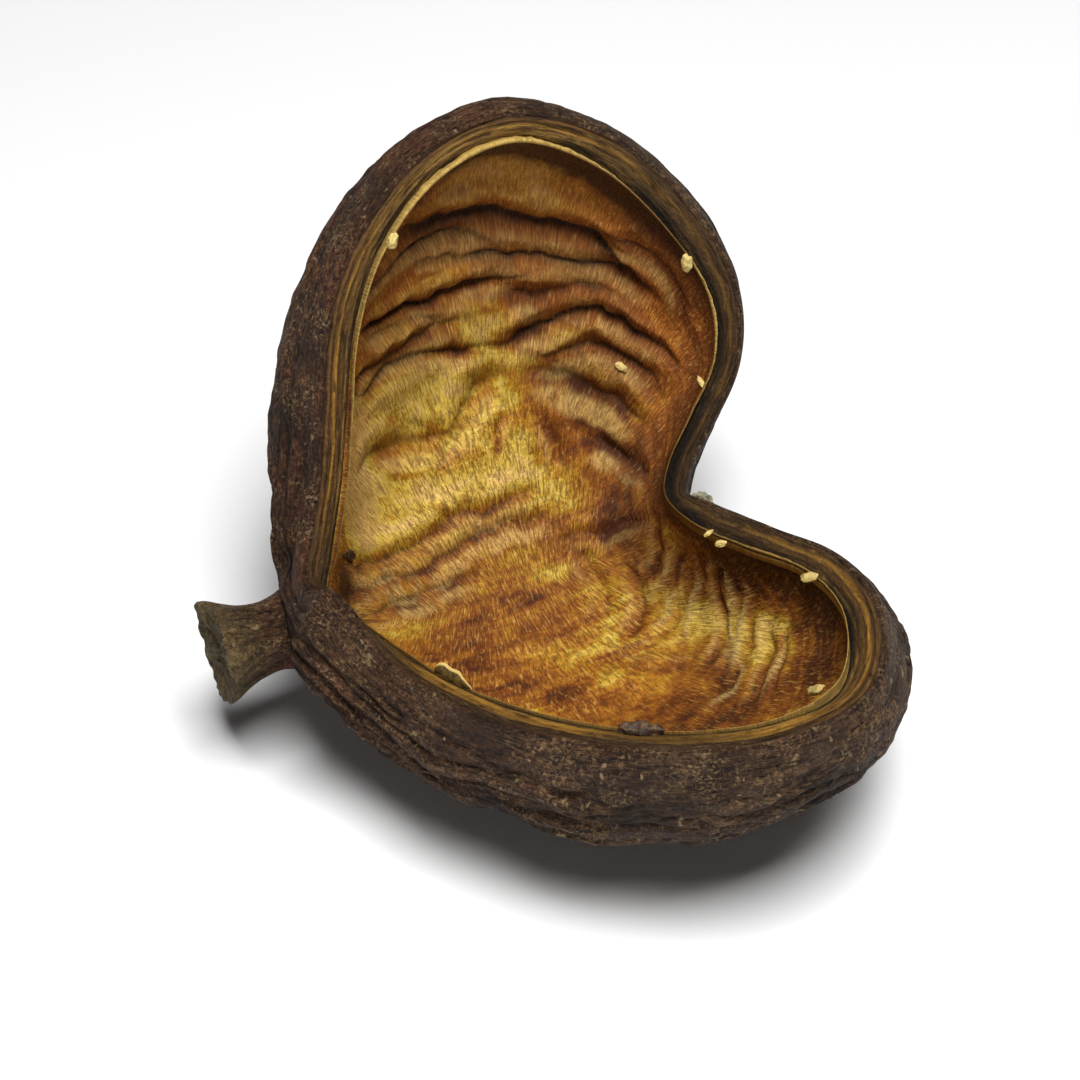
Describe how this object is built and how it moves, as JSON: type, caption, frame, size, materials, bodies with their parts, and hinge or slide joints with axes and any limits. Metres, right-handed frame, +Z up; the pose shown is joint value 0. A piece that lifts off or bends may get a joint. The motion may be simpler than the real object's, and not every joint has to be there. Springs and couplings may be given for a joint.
{
  "type": "open wild almond seed pod",
  "caption": "Dried, open wild almond seed pod: a heart-shaped woody bowl with a grooved rim, a wrinkled lining and a short flared stalk.",
  "frame": {"origin": "middle of the pod's box, on the surface it lies on", "axes": "+Z up as the pod lies on its rounded back; +X to the side, with the stalk towards -X and the notch of the rim towards +X; +Y towards the back, where the upper half of the pod stands; the open side faces -Y and up"},
  "size_m": [0.1188, 0.1172, 0.094],
  "materials": {
    "rind": "rough, dry, dark brown"
  },
  "bodies": {
    "root": {"pod": "rind"}
  },
  "joints": []
}
